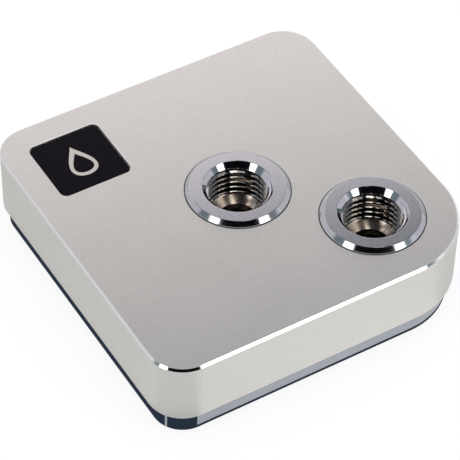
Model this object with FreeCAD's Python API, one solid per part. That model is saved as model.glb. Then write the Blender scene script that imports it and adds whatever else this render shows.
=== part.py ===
"""Liquid cooling cold plate: a finned metal plate under a flow body and a square cover with two pipe threads.

Frame: millimetres, +Z up. The origin is the centre of the cover's outline on the plate's contact face.
+X and +Y run along the cover's edges, and the outlet stands in the corner at +X, -Y.
"""
import FreeCAD, Part
import math
import os

# ---- driving dimensions ------------------------------------------------------------------------
# cover: a square block, hollow from below
COVER_WIDTH = 72.0
COVER_HEIGHT = 13.9
COVER_CORNER_RADIUS = 7.3        # three corners
OUTLET_CORNER_RADIUS = 16.75     # the fourth corner, concentric with the outlet
COVER_ROOF = 3.0
COVER_TOP_BEVEL = 0.45
COVER_FOOT_BEVEL = 0.25
POCKET_CORNER_RADIUS = 3.0

# cold plate
PLATE_THICKNESS = 5.0
PLATE_INSET = 1.15               # how far the plate's edge stands back under the cover
PLATE_FOOT_BEVEL = 0.5
BRACKET_EDGE = 5.85              # from the plate's edge to the bracket holes
BRACKET_SPACING_Y = 28.0
BRACKET_HOLE_RADIUS = 1.25
BRACKET_HOLE_DEPTH = 3.8

# micro channels, sawn into the plate with a disc cutter
CHANNEL_PITCH = 1.2
CHANNEL_WIDTH = 0.6
CHANNEL_DEPTH = 3.0
CUTTER_RADIUS = 12.0

# ports: pipe thread G 1/4 in a collared insert
INLET_OFFSET = 0.25              # the inlet stands this far from the centre, towards the outlet
THREAD_MAJOR_RADIUS = 6.58
THREAD_DEPTH = 0.86
THREAD_RUNOUT = 2.2              # smooth bore under the thread
BORE_STEP = 0.18                 # the smooth bore is this much under the thread's minor radius
MOUTH_CLEARANCE = 0.5            # countersunk mouth over the thread's major radius
INSERT_WALL = 1.42               # between the pipe thread and the insert's screwed body
COLLAR_RADIUS = 10.35
COLLAR_RISE = 0.85               # above the cover's top face
COLLAR_BEVEL = 0.9
COLLAR_GAP = 0.2                 # open ring between collar and cover
COLLAR_LEDGE = 1.0               # cover metal clamped under the collar
LEDGE_CLEARANCE = 0.3
THREAD_CLEARANCE = 0.05

# flow body and what it holds
BODY_WALL = 1.55                 # around the outlet's insert
POCKET_CLEARANCE = 0.15
DUCT_HEIGHT = 2.1                # collecting duct over the plate
DUCT_WIDTH = 5.0
DUCT_OVERLAP = 2.25              # how far the micro channels reach under the duct
SEAT_WEB = 1.0                   # between the duct's roof and the port seal
PORT_SEAL_HEIGHT = 1.2
PORT_SEAL_OUTER_MARGIN = 0.1     # from the insert's screwed body
PORT_SEAL_INNER_MARGIN = 0.4     # from the bore
JET_PLATE_THICKNESS = 0.6
JET_PLATE_CORNER = 1.0
JET_SLOT_WIDTH = 1.2
JET_GASKET_THICKNESS = 0.8
JET_LAND = 1.25                  # flow body wall between the jet plate's seat and the duct
JET_CLEARANCE = 0.1
JET_WINDOW_WIDTH = 9.0
JET_WINDOW_CORNER = 4.0
JET_WINDOW_END = 2.0             # gasket left at each end of its window, and so past the slot

# main seal
SEAL_WIDTH = 1.8
SEAL_HEIGHT = 1.3
SEAL_CORNER_RADIUS = 4.0
SEAL_SIDE_CLEARANCE = 0.1
SEAL_EDGE_WALL = 0.95            # flow body left outside the groove
SEAL_BEVEL = 0.3                 # edge bevel of every squeezed seal, as a share of its section

# countersunk screws, from below into the cover's wall
SCREW_RADIUS = 1.25
SCREW_LENGTH = 10.0
SCREW_HEAD_RADIUS = 2.35
SCREW_SINK = 0.2                 # head below the contact face
SCREW_WALL = 1.15                # cover metal between the screws and the pocket
SCREW_HOLE_CLEARANCE = 0.15
SCREW_HOLE_SPARE = 1.0
SCREW_TIP_BEVEL = 0.3
SOCKET_WIDTH = 1.5
SOCKET_DEPTH = 0.8

# badge, sunk in the cover's top
BADGE_WIDTH = 15.1
BADGE_THICKNESS = 0.4
BADGE_CORNER_RADIUS = 1.3
BADGE_EDGE_ROUND = 0.12
BADGE_GAP = 0.2
BADGE_EDGE = 5.6                 # from the cover's sides to the recess
RECESS_DEPTH = 0.9
OPENING_BEVEL = 0.2              # round the badge's recess and both port openings
ADHESIVE_THICKNESS = 0.1
ADHESIVE_MARGIN = 0.4

# ---- sizes that follow -------------------------------------------------------------------------
HALF = COVER_WIDTH / 2
PLATE_TOP = PLATE_THICKNESS
COVER_TOP = PLATE_TOP + COVER_HEIGHT
POCKET_ROOF = COVER_TOP - COVER_ROOF
COLLAR_TOP = COVER_TOP + COLLAR_RISE
COLLAR_SEAT = POCKET_ROOF + COLLAR_LEDGE

THREAD_MINOR_RADIUS = THREAD_MAJOR_RADIUS - THREAD_DEPTH
BORE_RADIUS = THREAD_MINOR_RADIUS - BORE_STEP
INSERT_RADIUS = THREAD_MAJOR_RADIUS + INSERT_WALL
DUCT_ROOF = PLATE_TOP + DUCT_HEIGHT
PORT_SEAL_SEAT = DUCT_ROOF + SEAT_WEB
INSERT_FOOT = PORT_SEAL_SEAT + PORT_SEAL_HEIGHT

OUTLET_OFFSET = HALF - OUTLET_CORNER_RADIUS
OUTLET = FreeCAD.Vector(OUTLET_OFFSET, -OUTLET_OFFSET, 0)
INLET = FreeCAD.Vector(INLET_OFFSET, -INLET_OFFSET, 0)
BODY_INSET = OUTLET_CORNER_RADIUS - INSERT_RADIUS - THREAD_CLEARANCE - BODY_WALL
COVER_WALL = BODY_INSET - POCKET_CLEARANCE
SEAL_INSET = BODY_INSET + SEAL_EDGE_WALL + SEAL_SIDE_CLEARANCE
SCREW_INSET = COVER_WALL - SCREW_WALL - SCREW_RADIUS

DUCT_INNER = OUTLET_OFFSET - DUCT_WIDTH / 2
JET_SEAT_HALF = DUCT_INNER - JET_LAND
JET_PLATE_HALF = JET_SEAT_HALF - JET_CLEARANCE
CHANNEL_HALF = DUCT_INNER + DUCT_OVERLAP
JET_WINDOW_HALF = JET_PLATE_HALF - JET_WINDOW_END
CHANNEL_COUNT = int((2 * JET_PLATE_HALF - CHANNEL_PITCH) / CHANNEL_PITCH)

RECESS_WIDTH = BADGE_WIDTH + 2 * BADGE_GAP
BADGE_OFFSET = HALF - BADGE_EDGE - OPENING_BEVEL - RECESS_WIDTH / 2
BADGE_CENTRE = FreeCAD.Vector(-BADGE_OFFSET, BADGE_OFFSET, 0)
RECESS_FLOOR = COVER_TOP - RECESS_DEPTH

UP = FreeCAD.Vector(0, 0, 1)
CENTRE = FreeCAD.Vector(0, 0, 0)


# ---- shared shapes -----------------------------------------------------------------------------
def rounded_loop(corners, z):
    """A closed outline through corners of (centre x, centre y, radius), each rounded by an arc.

    The corners run anticlockwise from the one at +X, +Y, so that corner k turns through the quarter
    that starts at k times 90 degrees.
    """
    arcs = []
    for quarter, (x, y, radius) in enumerate(corners):
        circle = Part.Circle(FreeCAD.Vector(x, y, z), UP, radius)
        start = quarter * math.pi / 2
        arcs.append(Part.Arc(circle, start, start + math.pi / 2).toShape())
    edges = []
    for arc, following in zip(arcs, arcs[1:] + arcs[:1]):
        edges.append(arc)
        leave, arrive = arc.Vertexes[-1].Point, following.Vertexes[0].Point
        if leave.distanceToPoint(arrive) > 1e-6:
            edges.append(Part.makeLine(leave, arrive))
    return Part.Wire(edges)


def housing_loop(inset, z, corner_radius=None):
    """The cover's outline, moved inwards by inset. The outlet's corner stays concentric with the outlet."""
    half = HALF - inset
    corner = COVER_CORNER_RADIUS - inset if corner_radius is None else corner_radius
    centre = half - corner
    return rounded_loop(
        [
            (centre, centre, corner),
            (-centre, centre, corner),
            (-centre, -centre, corner),
            (OUTLET_OFFSET, -OUTLET_OFFSET, OUTLET_CORNER_RADIUS - inset),
        ],
        z,
    )


def rectangle_loop(middle, half_x, half_y, radius, z):
    """A rounded rectangle around a middle point."""
    x, y = half_x - radius, half_y - radius
    signs = ((1, 1), (-1, 1), (-1, -1), (1, -1))
    return rounded_loop([(middle.x + a * x, middle.y + b * y, radius) for a, b in signs], z)


def prism(loop, height):
    """The solid under a flat outline raised by height."""
    return Part.Face(loop).extrude(UP * height)


def tapered(low_loop, high_loop):
    """The solid between two like outlines at different heights."""
    return Part.makeLoft([low_loop, high_loop], True, True)


def cylinder(middle, radius, z_low, z_high):
    """An upright cylinder."""
    return Part.makeCylinder(radius, z_high - z_low, FreeCAD.Vector(middle.x, middle.y, z_low))


def turned(points, middle):
    """A closed profile of (radius, height) points turned about an upright axis."""
    corners = [FreeCAD.Vector(middle.x + r, middle.y, z) for r, z in points]
    profile = Part.Face(Part.makePolygon(corners + corners[:1]))
    return profile.revolve(middle, UP, 360)


def duct_run(start, end):
    """A round-ended trough of the collecting duct between two points on its centre line."""
    middle = (start + end) * 0.5
    reach = start.distanceToPoint(end) / 2 + DUCT_WIDTH / 2
    along_x = abs(end.x - start.x) > abs(end.y - start.y)
    half_x, half_y = (reach, DUCT_WIDTH / 2) if along_x else (DUCT_WIDTH / 2, reach)
    return prism(rectangle_loop(middle, half_x, half_y, DUCT_WIDTH / 2, PLATE_TOP), DUCT_HEIGHT)


def screw_places():
    """The eight screws: one in each corner and one in the middle of each side, on one line in the wall."""
    half = HALF - SCREW_INSET
    reach = (COVER_CORNER_RADIUS - SCREW_INSET) * math.sqrt(0.5)
    near = HALF - COVER_CORNER_RADIUS + reach
    far = OUTLET_OFFSET + (OUTLET_CORNER_RADIUS - SCREW_INSET) * math.sqrt(0.5)
    corners = [(near, near), (-near, near), (-near, -near), (far, -far)]
    sides = [(half, 0), (0, half), (-half, 0), (0, -half)]
    return [FreeCAD.Vector(x, y, 0) for x, y in corners + sides]


def bracket_places():
    """The four tapped holes of the bracket, in the plate's underside."""
    x = HALF - PLATE_INSET - BRACKET_EDGE
    y = BRACKET_SPACING_Y / 2
    return [FreeCAD.Vector(a * x, b * y, 0) for a in (1, -1) for b in (1, -1)]


# ---- pieces ------------------------------------------------------------------------------------
def cover():
    """Square block with a bevelled top edge, hollow from below, with two stepped port holes."""
    foot_bevel = tapered(
        housing_loop(COVER_FOOT_BEVEL, PLATE_TOP),
        housing_loop(0, PLATE_TOP + COVER_FOOT_BEVEL),
    )
    side_height = COVER_HEIGHT - COVER_TOP_BEVEL - COVER_FOOT_BEVEL
    side = prism(housing_loop(0, PLATE_TOP + COVER_FOOT_BEVEL), side_height)
    top_bevel = tapered(
        housing_loop(0, COVER_TOP - COVER_TOP_BEVEL),
        housing_loop(COVER_TOP_BEVEL, COVER_TOP),
    )
    body = side.fuse([foot_bevel, top_bevel])

    cuts = [prism(housing_loop(COVER_WALL, PLATE_TOP, POCKET_CORNER_RADIUS), POCKET_ROOF - PLATE_TOP)]
    for port in (INLET, OUTLET):
        cuts.append(cylinder(port, INSERT_RADIUS + LEDGE_CLEARANCE, POCKET_ROOF, COVER_TOP))
        cuts.append(cylinder(port, COLLAR_RADIUS + COLLAR_GAP, COLLAR_SEAT, COVER_TOP))
        cuts.append(opening_bevel(port))
    hole_top = SCREW_SINK + SCREW_LENGTH + SCREW_HOLE_SPARE
    for place in screw_places():
        cuts.append(cylinder(place, SCREW_RADIUS + THREAD_CLEARANCE, PLATE_TOP, hole_top))
    cuts.append(badge_recess())
    return body.cut(cuts).removeSplitter()


def opening_bevel(port):
    """The bevel cut round a port hole, where it opens in the cover's top."""
    narrow = COLLAR_RADIUS + COLLAR_GAP
    base = port + FreeCAD.Vector(0, 0, COVER_TOP - OPENING_BEVEL)
    return Part.makeCone(narrow, narrow + OPENING_BEVEL, OPENING_BEVEL, base)


def badge_recess():
    """The badge's seat in the cover, with a bevel around its mouth."""
    half = RECESS_WIDTH / 2
    radius = BADGE_CORNER_RADIUS + BADGE_GAP
    wide, round_wide = half + OPENING_BEVEL, radius + OPENING_BEVEL
    seat = prism(rectangle_loop(BADGE_CENTRE, half, half, radius, RECESS_FLOOR), RECESS_DEPTH)
    mouth = tapered(
        rectangle_loop(BADGE_CENTRE, half, half, radius, COVER_TOP - OPENING_BEVEL),
        rectangle_loop(BADGE_CENTRE, wide, wide, round_wide, COVER_TOP),
    )
    return seat.fuse(mouth)


def badge():
    """Thin rounded plate with a softened top edge."""
    half = BADGE_WIDTH / 2
    foot = RECESS_FLOOR + ADHESIVE_THICKNESS
    plate = prism(rectangle_loop(BADGE_CENTRE, half, half, BADGE_CORNER_RADIUS, foot), BADGE_THICKNESS)
    top_edges = [e for e in plate.Edges if e.BoundBox.ZMin > foot + BADGE_THICKNESS / 2]
    return plate.makeFillet(BADGE_EDGE_ROUND, top_edges)


def badge_adhesive():
    """Film that holds the badge in its recess."""
    half = BADGE_WIDTH / 2 - ADHESIVE_MARGIN
    radius = BADGE_CORNER_RADIUS - ADHESIVE_MARGIN
    return prism(rectangle_loop(BADGE_CENTRE, half, half, radius, RECESS_FLOOR), ADHESIVE_THICKNESS)


def port_insert(port):
    """Collar and screwed body turned as one, with a countersunk mouth and two bores inside.

    The pipe thread is left plain at its minor radius.
    """
    mouth = THREAD_MAJOR_RADIUS + MOUTH_CLEARANCE
    countersink_foot = COLLAR_TOP - (mouth - THREAD_MINOR_RADIUS)
    thread_foot = INSERT_FOOT + THREAD_RUNOUT
    return turned(
        [
            (mouth, COLLAR_TOP),
            (COLLAR_RADIUS - COLLAR_BEVEL, COLLAR_TOP),
            (COLLAR_RADIUS, COLLAR_TOP - COLLAR_BEVEL),
            (COLLAR_RADIUS, COLLAR_SEAT),
            (INSERT_RADIUS, COLLAR_SEAT),
            (INSERT_RADIUS, INSERT_FOOT),
            (BORE_RADIUS, INSERT_FOOT),
            (BORE_RADIUS, thread_foot),
            (THREAD_MINOR_RADIUS, thread_foot + BORE_STEP),
            (THREAD_MINOR_RADIUS, countersink_foot),
        ],
        port,
    )


def port_seal(port):
    """Seal ring squeezed between the insert's foot and its seat in the flow body."""
    inner = BORE_RADIUS + PORT_SEAL_INNER_MARGIN
    outer = INSERT_RADIUS - PORT_SEAL_OUTER_MARGIN
    ring = cylinder(port, outer, PORT_SEAL_SEAT, INSERT_FOOT).cut(
        cylinder(port, inner, PORT_SEAL_SEAT, INSERT_FOOT)
    )
    section = min(outer - inner, PORT_SEAL_HEIGHT)
    return ring.makeChamfer(section * SEAL_BEVEL, circular_edges(ring))


def circular_edges(shape):
    """The edges of a shape that are circles."""
    return [e for e in shape.Edges if isinstance(e.Curve, Part.Circle)]


def flow_body():
    """Machined block that leads the inlet to the jet slot and both channel ends round to the outlet."""
    body = prism(housing_loop(BODY_INSET, PLATE_TOP, POCKET_CORNER_RADIUS), POCKET_ROOF - PLATE_TOP)
    cuts = []
    for port in (INLET, OUTLET):
        cuts.append(cylinder(port, INSERT_RADIUS + THREAD_CLEARANCE, PORT_SEAL_SEAT, POCKET_ROOF))
    cuts.append(cylinder(INLET, BORE_RADIUS, DUCT_ROOF, PORT_SEAL_SEAT))
    cuts.append(cylinder(OUTLET, BORE_RADIUS, PLATE_TOP, PORT_SEAL_SEAT))
    cuts.extend(collecting_duct())
    cuts.extend(jet_seat())
    cuts.append(seal_ring(0, SEAL_HEIGHT))
    return body.cut(cuts).removeSplitter()


def collecting_duct():
    """Trough over both ends of the micro channels, joined along the outlet's side."""
    start_x = -JET_SEAT_HALF
    far_left = FreeCAD.Vector(start_x, OUTLET_OFFSET, 0)
    far_right = FreeCAD.Vector(OUTLET_OFFSET, OUTLET_OFFSET, 0)
    near_left = FreeCAD.Vector(start_x, -OUTLET_OFFSET, 0)
    return [duct_run(far_left, far_right), duct_run(far_right, OUTLET), duct_run(near_left, OUTLET)]


def jet_seat():
    """Seat of the jet plate and its gasket, with the chamber that spreads the flow along the slot."""
    depth = JET_PLATE_THICKNESS + JET_GASKET_THICKNESS
    corner = JET_PLATE_CORNER + JET_CLEARANCE
    seat = rectangle_loop(CENTRE, JET_SEAT_HALF, JET_SEAT_HALF, corner, PLATE_TOP)
    return [prism(seat, depth), prism(jet_window_loop(PLATE_TOP), DUCT_HEIGHT)]


def jet_window_loop(z):
    """Outline of the gasket's window and of the chamber over it."""
    half = JET_WINDOW_WIDTH / 2
    return rectangle_loop(CENTRE, JET_WINDOW_HALF, half, min(JET_WINDOW_CORNER, half), z)


def jet_plate():
    """Sheet that closes the micro channels from above, with the slot that feeds them."""
    sheet = rectangle_loop(CENTRE, JET_PLATE_HALF, JET_PLATE_HALF, JET_PLATE_CORNER, PLATE_TOP)
    half = JET_SLOT_WIDTH / 2
    slot = rectangle_loop(CENTRE, JET_WINDOW_HALF - JET_WINDOW_END, half, half, PLATE_TOP)
    return prism(sheet, JET_PLATE_THICKNESS).cut(prism(slot, JET_PLATE_THICKNESS))


def jet_gasket():
    """Soft frame that presses the jet plate onto the fins."""
    foot = PLATE_TOP + JET_PLATE_THICKNESS
    frame = rectangle_loop(CENTRE, JET_PLATE_HALF, JET_PLATE_HALF, JET_PLATE_CORNER, foot)
    return prism(frame, JET_GASKET_THICKNESS).cut(prism(jet_window_loop(foot), JET_GASKET_THICKNESS))


def seal_ring(clearance_inside, height):
    """A band that follows the housing's outline, as wide as the seal's groove less a clearance each side."""
    inset = SEAL_INSET - SEAL_SIDE_CLEARANCE + clearance_inside
    width = SEAL_WIDTH + 2 * (SEAL_SIDE_CLEARANCE - clearance_inside)
    corner = SEAL_CORNER_RADIUS + SEAL_WIDTH / 2 + SEAL_SIDE_CLEARANCE - clearance_inside
    outside = housing_loop(inset, PLATE_TOP, corner)
    inside = housing_loop(inset + width, PLATE_TOP, corner - width)
    return prism(outside, height).cut(prism(inside, height))


def main_seal():
    """Seal cord between flow body and plate, squeezed flat above and below."""
    cord = seal_ring(SEAL_SIDE_CLEARANCE, SEAL_HEIGHT)
    flat_edges = [e for e in cord.Edges if e.BoundBox.ZLength < SEAL_HEIGHT / 2]
    return cord.makeChamfer(min(SEAL_WIDTH, SEAL_HEIGHT) * SEAL_BEVEL, flat_edges)


def micro_channel(x):
    """One channel: straight floor with the disc cutter's radius running out at both ends."""
    floor = PLATE_TOP - CHANNEL_DEPTH
    axis_z = floor + CUTTER_RADIUS
    above = PLATE_TOP + CHANNEL_DEPTH / 2
    reach = math.sqrt(CUTTER_RADIUS**2 - (axis_z - PLATE_TOP) ** 2)
    wide = math.sqrt(CUTTER_RADIUS**2 - (axis_z - above) ** 2)
    flat = CHANNEL_HALF - reach
    steep = math.asin(wide / CUTTER_RADIUS)

    def at(y, z):
        return FreeCAD.Vector(x - CHANNEL_WIDTH / 2, y, z)

    def runout(side):
        half_way = (
            side * (flat + CUTTER_RADIUS * math.sin(steep / 2)),
            axis_z - CUTTER_RADIUS * math.cos(steep / 2),
        )
        return Part.Arc(at(side * flat, floor), at(*half_way), at(side * (flat + wide), above)).toShape()

    right, left = runout(1), runout(-1)
    loop = Part.Wire(
        [
            Part.makeLine(at(-flat, floor), at(flat, floor)),
            right,
            Part.makeLine(at(flat + wide, above), at(-flat - wide, above)),
            left,
        ]
    )
    return Part.Face(loop).extrude(FreeCAD.Vector(CHANNEL_WIDTH, 0, 0))


def cold_plate():
    """Metal plate with the micro channels above and countersinks and bracket threads below."""
    foot = tapered(
        housing_loop(PLATE_INSET + PLATE_FOOT_BEVEL, 0),
        housing_loop(PLATE_INSET, PLATE_FOOT_BEVEL),
    )
    plate = prism(housing_loop(PLATE_INSET, PLATE_FOOT_BEVEL), PLATE_TOP - PLATE_FOOT_BEVEL).fuse(foot)
    cuts = [screw_hole(place) for place in screw_places()]
    for place in bracket_places():
        cuts.append(cylinder(place, BRACKET_HOLE_RADIUS, 0, BRACKET_HOLE_DEPTH))
    first = -(CHANNEL_COUNT - 1) / 2 * CHANNEL_PITCH
    cuts.extend(micro_channel(first + number * CHANNEL_PITCH) for number in range(CHANNEL_COUNT))
    return plate.cut(cuts).removeSplitter()


def screw_hole(place):
    """Clearance hole with a countersink that fits the screw's head, open to the contact face."""
    wide = SCREW_HEAD_RADIUS
    narrow = SCREW_RADIUS + SCREW_HOLE_CLEARANCE
    cone_top = SCREW_SINK + wide - narrow
    return turned(
        [(0, 0), (wide, 0), (wide, SCREW_SINK), (narrow, cone_top), (narrow, PLATE_TOP), (0, PLATE_TOP)],
        place,
    )


def base_screw(place):
    """Countersunk screw with a hexagon socket; its thread is left plain."""
    head_top = SCREW_SINK + SCREW_HEAD_RADIUS - SCREW_RADIUS
    tip = SCREW_SINK + SCREW_LENGTH
    screw = turned(
        [
            (0, SCREW_SINK),
            (SCREW_HEAD_RADIUS, SCREW_SINK),
            (SCREW_RADIUS, head_top),
            (SCREW_RADIUS, tip - SCREW_TIP_BEVEL),
            (SCREW_RADIUS - SCREW_TIP_BEVEL, tip),
            (0, tip),
        ],
        place,
    )
    corner = SOCKET_WIDTH / math.sqrt(3)
    turns = [number * math.pi / 3 for number in range(7)]
    ring = [FreeCAD.Vector(corner * math.cos(a), corner * math.sin(a), SCREW_SINK) for a in turns]
    hexagon = Part.makePolygon([place + corner_point for corner_point in ring])
    return screw.cut(prism(hexagon, SOCKET_DEPTH))


# ---- the set of pieces -------------------------------------------------------------------------
def all_pieces():
    """Every piece by name."""
    pieces = {
        "cover": cover(),
        "flow_body": flow_body(),
        "cold_plate": cold_plate(),
        "main_seal": main_seal(),
        "jet_plate": jet_plate(),
        "jet_gasket": jet_gasket(),
        "badge": badge(),
        "badge_adhesive": badge_adhesive(),
    }
    for name, port in (("inlet", INLET), ("outlet", OUTLET)):
        pieces[f"{name}_insert"] = port_insert(port)
        pieces[f"{name}_seal"] = port_seal(port)
    for number, place in enumerate(screw_places(), start=1):
        pieces[f"base_screw_{number}"] = base_screw(place)
    return pieces


os.makedirs("parts", exist_ok=True)
for node, shape in all_pieces().items():
    shape.exportStep(f"parts/{node}.step")
    print(f"{node}: {len(shape.Solids)} solid, {shape.Volume:.1f} mm3, valid {shape.isValid()}")
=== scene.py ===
"""Liquid cooling cold plate: finishes, threaded port inserts, badge mark and a small studio.

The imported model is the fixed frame. Lengths are in millimetres from the plate's contact face, and become
metres where a mesh or a material is made. X and Y run along the cover's edges, and Z up out of the ports.
"""

import math

import bpy
import numpy as np
from mathutils import Matrix, Vector


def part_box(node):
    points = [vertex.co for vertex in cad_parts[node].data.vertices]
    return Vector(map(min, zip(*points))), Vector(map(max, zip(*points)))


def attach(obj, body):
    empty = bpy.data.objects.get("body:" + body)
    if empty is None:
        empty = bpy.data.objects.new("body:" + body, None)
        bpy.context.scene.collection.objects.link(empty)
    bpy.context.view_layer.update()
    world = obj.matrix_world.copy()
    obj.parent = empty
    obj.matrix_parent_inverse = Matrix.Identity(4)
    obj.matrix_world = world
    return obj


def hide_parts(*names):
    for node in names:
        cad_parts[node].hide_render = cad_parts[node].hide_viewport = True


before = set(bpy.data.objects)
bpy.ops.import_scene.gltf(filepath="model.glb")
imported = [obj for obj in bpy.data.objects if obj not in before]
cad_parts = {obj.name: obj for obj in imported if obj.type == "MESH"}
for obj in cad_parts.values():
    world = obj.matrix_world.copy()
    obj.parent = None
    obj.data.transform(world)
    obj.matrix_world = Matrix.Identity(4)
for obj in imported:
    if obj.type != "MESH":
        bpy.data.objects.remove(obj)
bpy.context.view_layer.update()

MM = 0.001


def node_box(node):
    """Lowest and highest corner of a node, in millimetres."""
    low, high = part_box(node)
    return np.array(low) / MM, np.array(high) / MM


# ---- sizes read from the frame -----------------------------------------------------------------
COVER_HIGH = node_box("cover")[1]
COVER_TOP = COVER_HIGH[2]
PLATE_LOW, PLATE_HIGH = node_box("cold_plate")
BADGE_LOW, BADGE_HIGH = node_box("badge")

# ---- sizes shared with the solids --------------------------------------------------------------
TOP_BEVEL = 0.45                 # polished edge round the cover's top
OPENING_BEVEL = 0.2              # edge round the badge's recess and the port openings
PLATE_CORNER = 6.15              # plate's outline at its three equal corners
OUTLET_CORNER = 16.75            # cover's outline round the outlet
MOUTH_CLEARANCE = 0.5            # countersunk mouth of a port, over its thread's major radius
COLLAR_BEVEL = 0.9
COLLAR_HEIGHT = 2.85             # collar from its ledge in the cover to its face
INSERT_WALL = 1.42               # between the pipe thread and the insert's screwed body
THREAD_MAJOR_RADIUS = 6.58       # pipe thread G 1/4
THREAD_DEPTH = 0.86
THREAD_PITCH = 1.337
THREAD_RUNOUT = 2.2              # smooth bore under the thread
BORE_STEP = 0.18                 # from the smooth bore up to the foot of the thread

# ---- sizes of the forms added here -------------------------------------------------------------
PASSAGE_RADIUS = 4.05            # narrow passage at the foot of the threaded hole
DRILL_POINT_DEGREES = 59.0       # the drill's cone above it, from the axis
THREAD_ROUNDING = 0.1373         # radius of the thread's roots, in pitches
THREAD_HALF_ANGLE = 27.5
THREAD_CREST = 1 / 12            # half of a crest's flat, in pitches
THREAD_END = 0.4                 # the thread grows from the smooth bore over this many pitches
MOUTH_ROUNDING = 0.05            # broken edge round the mouth
CORNER_SOFTENING = 0.07          # broken edges on the collar
EDGE_SUPPORT = 0.03              # narrow ring that keeps the faces beside a broken edge flat
MARK_LENGTH = 8.6                # drop printed on the badge
MARK_WIDTH = 6.2
MARK_STROKE = 0.85
MARK_THICKNESS = 0.012
MARK_HOLLOW_SHORTER = 3.4        # strokes by which the drop's hollow is shorter than its outline
MARK_HOLLOW_LOWER = 0.7          # and strokes by which it stands further from the tip
DROP_FULLNESS = 1.3
DROP_TAPER = 1.5

# ---- fineness of the new surfaces --------------------------------------------------------------
TURN_STEPS = 256                 # around a port insert
THREAD_STEPS = 30                # along one pitch
CORNER_STEPS = 5                 # along a broken edge
MARK_STEPS = 96                  # around the drop
CARD_STEPS = 24                  # along a card's curved stretch
CARD_SHORT_STEPS = 4
SHARP_DEGREES = 28.0             # edges of an insert over this angle stay sharp

# ---- finishes: colours, tones and heights ------------------------------------------------------
SATIN_ALUMINIUM = (0.855, 0.845, 0.81)
CUT_ALUMINIUM = (0.93, 0.92, 0.91)
BRIGHT_PLATING = (0.61, 0.615, 0.65)
# painted shade: the plating's colour down in the thread
PAINTED_THREAD_SHADE = (0.45, 0.42, 0.40)
WARM_FOOT = (0.58, 0.485, 0.42)
# painted reflection: the nickel is darkened and tinted blue-grey, standing in for the dark surroundings its
# sides mirror
NICKEL = (0.425, 0.45, 0.505)
NICKEL_LIGHT = (0.455, 0.48, 0.535)
ACETAL = (0.014, 0.014, 0.015)
RUBBER = (0.02, 0.02, 0.021)
STAINLESS_SHEET = (0.58, 0.57, 0.56)
STAINLESS = (0.55, 0.54, 0.53)
ANODISED = (0.005, 0.0035, 0.007)
BLACK_SHEEN = 0.06               # the badge's specular level
PRINT_DARK, PRINT_LIGHT = (0.62, 0.565, 0.535), (0.70, 0.64, 0.61)
FILM_DARK, FILM_LIGHT = (0.30, 0.30, 0.29), (0.40, 0.40, 0.39)

BLOTCH_START, BLOTCH_END = 0.3, 0.7      # noise between which a blotch grows from none to full
SMUDGE_START, SMUDGE_END = 0.35, 0.75    # the same for a smudge on plating
GRAIN_FINE, GRAIN_COARSE = 0.7, 0.6      # height of the two sizes of grain
GRAIN_MEAN = (GRAIN_FINE + GRAIN_COARSE) / 2
GRAIN_RATIO = 0.31                       # fine grain over coarse grain, in size
TURNING_WAVER = 0.8                      # turns by which noise bends the lathe's marks
LINE_STRETCH = 0.03                      # scale along the lines of rolling or lapping
FACE_MARGIN = 0.01                       # a face's own finish reaches this far under it

SPECK_DEPTH = 0.20               # how much the grain shades the satin
BLOTCH_DEPTH = 0.015             # how much the blotches do
SATIN_ROUGHNESS = (0.415, 0.435)
EDGE_POLISH = 0.36               # roughness taken from the cover's top bevel
OUTER_RIM = 5.0                  # width of the cover's top that holds no port and no badge
FLECK_DEPTH = 0.06               # shading of the flecks on a collar
PLATING_ROUGHNESS = (0.05, 0.09)
FOOT_DULLING, COLLAR_DULLING = 0.11, 0.03
COLLAR_MARGIN = 0.02             # the collar's finish starts this far outside its mouth
# painted shade: the bore darkens over this depth under the cover's top
BORE_FADE = 1.5                  # the thread's tone is reached this far under the cover's top
DULL_FROM, DULL_BELOW = 12.5, 11.5       # heights between which a bore turns warm and dull
PLATE_ROUGHNESS = 0.07
CONTACT_DULLING = 0.14           # roughness added on the lapped contact face

# ---- camera ------------------------------------------------------------------------------------
VIEW_AZIMUTH = 31.873            # the camera stands this far round from straight in front
VIEW_ELEVATION = 46.377
VIEW_ROLL = 1.347
VIEW_DISTANCE = 483.024
VIEW_TARGET = (-1.245, -0.120, 8.0)
VIEW_LENS = 190.93

# ---- studio that bright metal mirrors ----------------------------------------------------------
PLAIN_LIGHT = 0.72               # what every other surface gets from all sides
STUDIO_AZIMUTH = 27.0            # middle of the dark flag in front
FLAG_EDGE = (42.0, 46.0)         # degrees round from the middle, where one zone fades to the next
SOFTBOX_EDGE = (63.0, 67.0)
WALL_EDGE = (84.0, 93.0)
HORIZON_EDGE = (22.0, 28.0)      # degrees of height
CEILING_EDGE = (50.0, 58.0)
# painted reflections: the world's zones, which only glossy rays see and which light nothing
FLAG = (0.004, 0.004, 0.005)
SOFTBOX = (1.75, 1.75, 1.75)
TEAL = (0.20, 0.25, 0.27)
LAVENDER = (0.66, 0.655, 0.69)
HORIZON = (0.86, 0.86, 0.88)
CEILING = (0.018, 0.018, 0.020)

# sheets over the plate, painted reflections that only bright metal mirrors: a wide diffuser, dark on the
# camera's side and light behind, and strips above it
DIFFUSER_HEIGHT = 220.0
DIFFUSER_TOWARD, DIFFUSER_RIGHT = (-620.0, -30.0), (-330.0, 330.0)
DIFFUSER_MIDDLE = (105.4, 167.4)
DIFFUSER_AHEAD = (0.22, 0.975)
DIFFUSER_FADE = (-64.0, 50.0)
# painted reflection: the diffuser's glow runs from dark on the camera's side to light behind
DIFFUSER_PAINTED_DARK = (0.187, 0.21, 0.222)
DIFFUSER_PAINTED_LIGHT = (1.075, 1.00, 1.02)
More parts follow.
